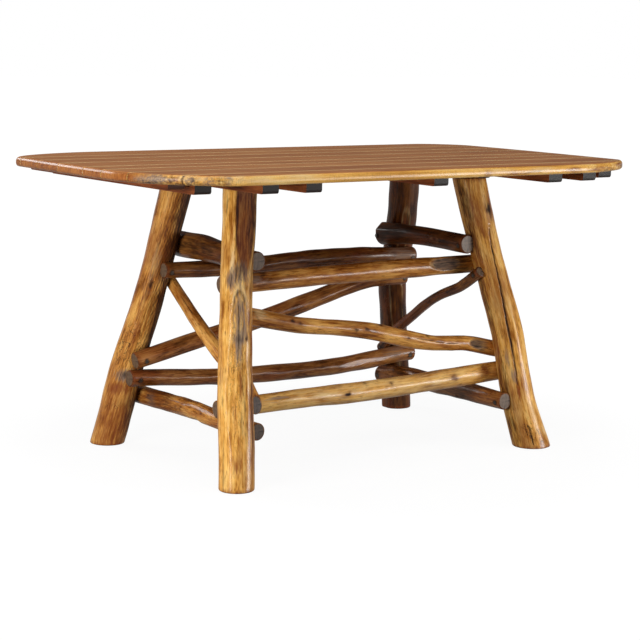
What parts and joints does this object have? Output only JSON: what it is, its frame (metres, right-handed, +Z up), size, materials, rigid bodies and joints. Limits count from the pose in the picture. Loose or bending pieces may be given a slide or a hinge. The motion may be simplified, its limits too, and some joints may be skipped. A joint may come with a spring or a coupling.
{
  "type": "rustic pole-leg dining table",
  "caption": "Rustic dining table: plank top with bowed ends and rounded shoulders on cross battens, splayed peeled-pole legs, tied by crooked horizontal and slanting poles.",
  "frame": {"origin": "on the floor under the middle of the table", "axes": "+X along the length of the top, +Y across it towards the back, +Z up"},
  "size_m": [1.488, 0.838, 0.75],
  "materials": {
    "top_wood": "glossy lacquered planks, brown with a golden rim and golden joint lines",
    "batten_wood": "reddish brown stain, dark sawn ends",
    "leg_wood": "peeled hickory under glossy amber lacquer, with knots and drying cracks",
    "pole_wood": "peeled hickory under glossy amber lacquer, grey-brown sawn ends",
    "nail_steel": "dull dark steel nail heads",
    "screw_steel": "zinc-plated steel"
  },
  "bodies": {
    "root": {"board_1": "top_wood", "board_2": "top_wood", "board_3": "top_wood", "board_4": "top_wood", "board_5": "top_wood", "board_6": "top_wood", "board_7": "top_wood", "board_8": "top_wood", "batten_1": "batten_wood", "batten_2": "batten_wood", "batten_3": "batten_wood", "batten_4": "batten_wood", "batten_5": "batten_wood", "batten_6": "batten_wood", "batten_7": "batten_wood", "batten_8": "batten_wood", "leg_cleat_left": "batten_wood", "leg_cleat_right": "batten_wood", "leg_front_left": "leg_wood", "leg_front_right": "leg_wood", "leg_back_right": "leg_wood", "leg_back_left": "leg_wood", "pole_front_upper": "pole_wood", "pole_front_slant": "pole_wood", "pole_front_lower": "pole_wood", "pole_right_upper": "pole_wood", "pole_right_slant": "pole_wood", "pole_right_lower": "pole_wood", "pole_back_upper": "pole_wood", "pole_back_slant": "pole_wood", "pole_back_lower": "pole_wood", "pole_left_upper": "pole_wood", "pole_left_slant": "pole_wood", "pole_left_lower": "pole_wood", "nails_front": "nail_steel", "nails_right": "nail_steel", "nails_back": "nail_steel", "nails_left": "nail_steel", "board_screws": "screw_steel", "leg_bolts": "screw_steel"}
  },
  "joints": []
}
